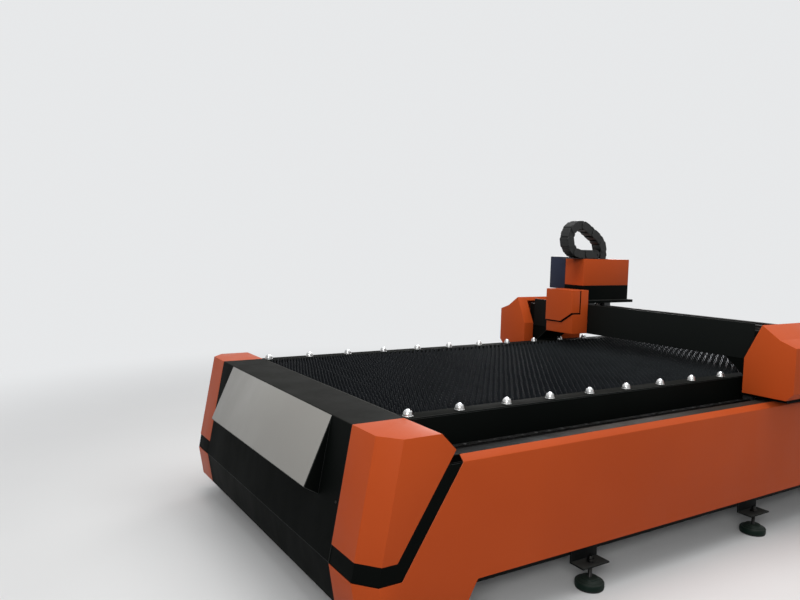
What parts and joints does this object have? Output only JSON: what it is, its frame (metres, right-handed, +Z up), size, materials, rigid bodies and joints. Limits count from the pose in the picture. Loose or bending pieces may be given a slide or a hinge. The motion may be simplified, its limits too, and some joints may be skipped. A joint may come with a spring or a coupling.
{
  "type": "flatbed laser cutting machine",
  "caption": "Open flatbed laser cutting machine: low orange and black bed with saw-tooth slats and ball transfers, and a gantry whose carriage carries the cutting head.",
  "frame": {"origin": "on the floor, in the middle of the bed's length and width", "axes": "+Z up, +Y along the bed from the front panel to the rear, +X towards the machine's right-hand side seen from the rear"},
  "size_m": [2.388, 4.46, 1.757],
  "materials": {
    "frame_black": "satin black powder coat",
    "cover_black": "fine-textured black powder coat",
    "cover_orange": "satin orange powder coat",
    "panel_grey": "satin warm grey",
    "strip_gloss": "half-gloss black",
    "foot_green": "dark green paint",
    "box_blue": "dark blue-grey paint",
    "motor_black": "black",
    "slat_steel": "dark mill scale",
    "tray_steel": "plain sheet steel",
    "rail_steel": "ground steel",
    "ball_chrome": "polished",
    "plate_aluminium": "machined",
    "chain_plastic": "matte black",
    "nozzle_brass": "turned"
  },
  "bodies": {
    "bed": {"side_beams": "frame_black", "lower_frame": "frame_black", "cross_members": "frame_black", "foot_brackets": "frame_black", "levelling_feet": "foot_green", "table_sides": "frame_black", "ball_strips": "frame_black", "ball_transfers": "ball_chrome", "slat_supports": "frame_black", "slats": "slat_steel", "scrap_trays": "tray_steel", "rear_deck": "cover_black", "front_hood": "cover_black", "rear_hood": "cover_black", "front_kick_panel": "cover_black", "rear_kick_panel": "cover_black", "front_panel": "panel_grey", "front_corner_cover_right": "cover_orange", "front_corner_cover_left": "cover_orange", "rear_corner_cover_right": "cover_orange", "rear_corner_cover_left": "cover_orange", "corner_liners": "cover_black", "skirt_right": "cover_orange", "skirt_left": "cover_orange", "bed_rails": "rail_steel", "bed_racks": "rail_steel", "ledge_strips": "strip_gloss"},
    "gantry": {"foot_plates": "frame_black", "gantry_blocks": "rail_steel", "risers": "frame_black", "end_cover_right": "cover_orange", "end_cover_left": "cover_orange", "gantry_drives": "motor_black", "beam": "cover_black", "beam_cover": "cover_black", "beam_rails": "rail_steel", "beam_rack": "rail_steel"},
    "pinion_right": {"gantry_pinion_right": "rail_steel"},
    "pinion_left": {"gantry_pinion_left": "rail_steel"},
    "carriage": {"carriage_blocks": "rail_steel", "saddle": "plate_aluminium", "front_plate": "plate_aluminium", "saddle_housing": "cover_black", "top_box": "cover_orange", "junction_box": "box_blue", "carriage_side_cover": "cover_orange", "carriage_hood": "cover_orange", "carriage_liner": "cover_black", "carriage_drive": "motor_black", "z_rails": "rail_steel", "z_motor": "motor_black", "screw_bearings": "plate_aluminium", "drag_chain": "chain_plastic"},
    "cross_pinion": {"carriage_pinion": "rail_steel"},
    "screw": {"lift_screw": "rail_steel"},
    "head": {"slide_carriage": "plate_aluminium", "head_body": "plate_aluminium", "collimator": "motor_black", "head_tube": "plate_aluminium", "nozzle": "nozzle_brass"}
  },
  "joints": [
    {"name": "gantry_travel", "type": "slide", "parent": "bed", "child": "gantry", "axis": [0, 1, 0], "range_m": [-2.11, 0.88]},
    {"name": "carriage_travel", "type": "slide", "parent": "gantry", "child": "carriage", "axis": [1, 0, 0], "range_m": [-0.26, 1.21]},
    {"name": "head_travel", "type": "slide", "parent": "carriage", "child": "head", "axis": [0, 0, -1], "range_m": [0, 0.1]},
    {"name": "pinion_right_turn", "type": "hinge", "parent": "gantry", "child": "pinion_right", "pos_m": [0.965, 0.735, 0.713], "axis": [0, 0, 1], "continuous": true},
    {"name": "pinion_left_turn", "type": "hinge", "parent": "gantry", "child": "pinion_left", "pos_m": [-0.965, 0.735, 0.713], "axis": [0, 0, 1], "continuous": true},
    {"name": "cross_pinion_turn", "type": "hinge", "parent": "carriage", "child": "cross_pinion", "pos_m": [-0.4935, 0.692, 1.098], "axis": [0, 0, 1], "continuous": true},
    {"name": "screw_turn", "type": "hinge", "parent": "carriage", "child": "screw", "pos_m": [-0.475, 0.364, 1.08], "axis": [0, 0, 1], "continuous": true}
  ],
  "couplings": [
    {"joint": "pinion_right_turn", "follows": "gantry_travel", "rad_per_m": -50},
    {"joint": "pinion_left_turn", "follows": "gantry_travel", "rad_per_m": 50},
    {"joint": "cross_pinion_turn", "follows": "carriage_travel", "rad_per_m": -50},
    {"joint": "screw_turn", "follows": "head_travel", "rad_per_m": 628.32}
  ]
}
